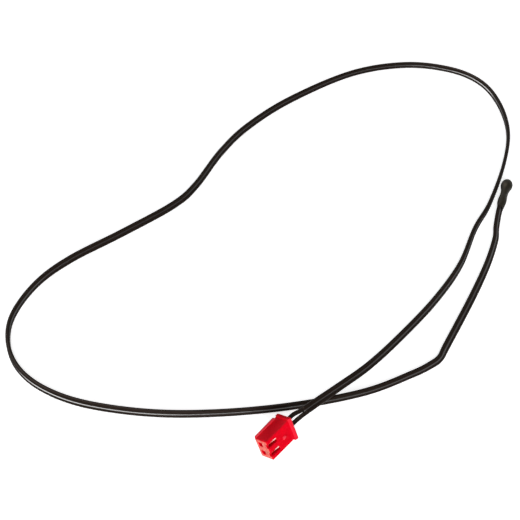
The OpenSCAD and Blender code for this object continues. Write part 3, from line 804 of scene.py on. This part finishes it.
def beside_entry(place):
    """Whether a place in the front wall lies within reach of a pin entry's middle."""
    return (place.y < ENTRY_DEPTH and abs(place.x - ENTRY_LEVEL) < ENTRY_REACH
            and abs(abs(place.z) - PITCH / 2) < ENTRY_REACH)


def on_gate(place):
    return place.x > 0 and max(abs(place.y - GATE_AT), abs(place.z - GATE_ROW)) < GATE_D


def shade_of(polygon):
    """Which of the housing's four finishes a flat face takes: the plain red, or one with a painted
    highlight.
    """
    centre = into_plug @ (polygon.center / MM)
    normal = into_plug.to_3x3() @ polygon.normal
    if normal.y < -SQUARE_ON and centre.y < FRONT_SLICE:
        return PALEST
    if centre.y > FLANGE_AT:
        return BETWEEN if centre.x > HOUSING_T / 2 else DEEP
    on_rail = abs(centre.z) > HOUSING_W / 2 + RAIL_FROM
    return PALE if on_rail or (on_gate(centre) and centre.x > HOUSING_T / 2) else DEEP


for vertex in shell.data.vertices:
    place = into_plug @ (vertex.co / MM)
    if on_gate(place):
        place.y = GATE_BACK - (GATE_BACK - place.y) * GATE_LONGER
        place.z = GATE_ROW + (place.z - GATE_ROW) * GATE_WIDER
    elif beside_entry(place):
        row = math.copysign(PITCH / 2, place.z)
        place.x = ENTRY_LEVEL + (place.x - ENTRY_LEVEL) * ENTRY_WIDER
        place.z = row + (place.z - row) * ENTRY_WIDER
    vertex.co = plug_place @ place * MM
for polygon in shell.data.polygons:
    polygon.material_index = shade_of(polygon)
only(shell)
bpy.ops.object.modifier_apply(modifier=rounds.name)
for polygon in shell.data.polygons:
    if polygon.material_index == PALE and beside_entry(into_plug @ (polygon.center / MM)):
        polygon.material_index = DEEP
bpy.ops.object.shade_smooth_by_angle(angle=HOUSING_SMOOTH)
print("housing faces:", len(shell.data.polygons))

# %% [markdown]
# ## Table and light
# The photograph has a pure white ground. The table is a wide pale sheet that also shows white to the
# camera and in reflections, which leaves the light on the sensor alone and keeps its soft shadow.
# The main light is a wide low softbox on the camera's side, since the mating face and the broad side
# of the plug are bright there while its upward narrow side is dark. A high lamp on the left adds only
# the glints on the polished lane of the cord. The sky fills the rest.

# %% Table
TABLE_SIZE = 6.0
TABLE_GLOW = 0.7  # seen only, and with the light on the table it comes to white


def shows_white(owner, strength_lit, strength_seen):
    """Strength that is one value for light and another for what is seen, also in gloss and glass."""
    rays = added(owner, "LightPath").outputs
    seen = reckoned(owner, "MAXIMUM", rays["Is Camera Ray"], rays["Is Glossy Ray"])
    seen = reckoned(owner, "MAXIMUM", seen, rays["Is Transmission Ray"])
    strength = added(owner, "MapRange", To_Min=strength_lit, To_Max=strength_seen)
    wired(owner, seen, strength.inputs["Value"])
    return strength.outputs["Result"]


bpy.ops.object.select_all(action="DESELECT")
bpy.ops.mesh.primitive_plane_add(size=TABLE_SIZE, location=(0, 0, 0))
table = bpy.context.active_object
table.name = table.data.name = "table"
table_white, shader = finish("table_white", (0.9, 0.9, 0.9), 0.9, Specular_IOR_Level=0.1,
                             Emission_Color=(1, 1, 1, 1))
wired(table_white, shows_white(table_white, 0.0, TABLE_GLOW), shader.inputs["Emission Strength"])
painted(table, table_white)
print("table:", TABLE_SIZE, "m")

# %% Sky and lamps
SKY_LIT, SKY_SEEN = 0.38, 1.0
LOOP_MIDDLE = Vector((-0.055, -0.03, 0))
LAMP_AWAY = 0.8
FRONT_SIZE, FRONT_WATTS = 0.45, 5.6
GLINT_SIZE, GLINT_WATTS = 0.9, 21.0

world = bpy.data.worlds.new("studio")
bpy.context.scene.world = world
world.use_nodes = True
sky = world.node_tree.nodes["Background"]
sky.inputs["Color"].default_value = (1, 1, 1, 1)
wired(world, shows_white(world, SKY_LIT, SKY_SEEN), sky.inputs["Strength"])


def softbox(name, towards, size, watts):
    """Square area lamp that looks at the middle of the loop from a given side."""
    lamp = bpy.data.lights.new(name, "AREA")
    lamp.shape = "SQUARE"
    lamp.size = size
    lamp.energy = watts
    holder = bpy.data.objects.new(name, lamp)
    holder.location = LOOP_MIDDLE + Vector(towards).normalized() * LAMP_AWAY
    holder.rotation_mode = "QUATERNION"
    holder.rotation_quaternion = (LOOP_MIDDLE - holder.location).to_track_quat("-Z", "Y")
    bpy.context.scene.collection.objects.link(holder)
    return holder


front = softbox("low_front", (0.28, -0.90, 0.33), FRONT_SIZE, FRONT_WATTS)
glint = softbox("left_glint", (-0.495, -0.065, 0.866), GLINT_SIZE, GLINT_WATTS)
glint.visible_diffuse = False
print("lamps:", front.name, glint.name)

# %% [markdown]
# ## Tie the dressing to the solids
# Every new piece rides on the sensor's one body and hides the solid that it stands for.

# %% Pieces and bodies
for piece, solid, slot in (
    (twin_cord, "twin_cable", "cord_pvc"), (core_a, "core_tail_a", "cord_pvc"),
    (core_b, "core_tail_b", "cord_pvc"), (epoxy, "epoxy_head", "epoxy"),
    (shell, "plug_housing", "plug_red"),
):
    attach(piece, "root")
    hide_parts(solid)

# %% [markdown]
# ## View
# The dressed sensor has to be as big as its solids. The render shows colours as they are written,
# through the Standard view transform.

# %% Finish
bpy.context.scene.view_settings.view_transform = "Standard"
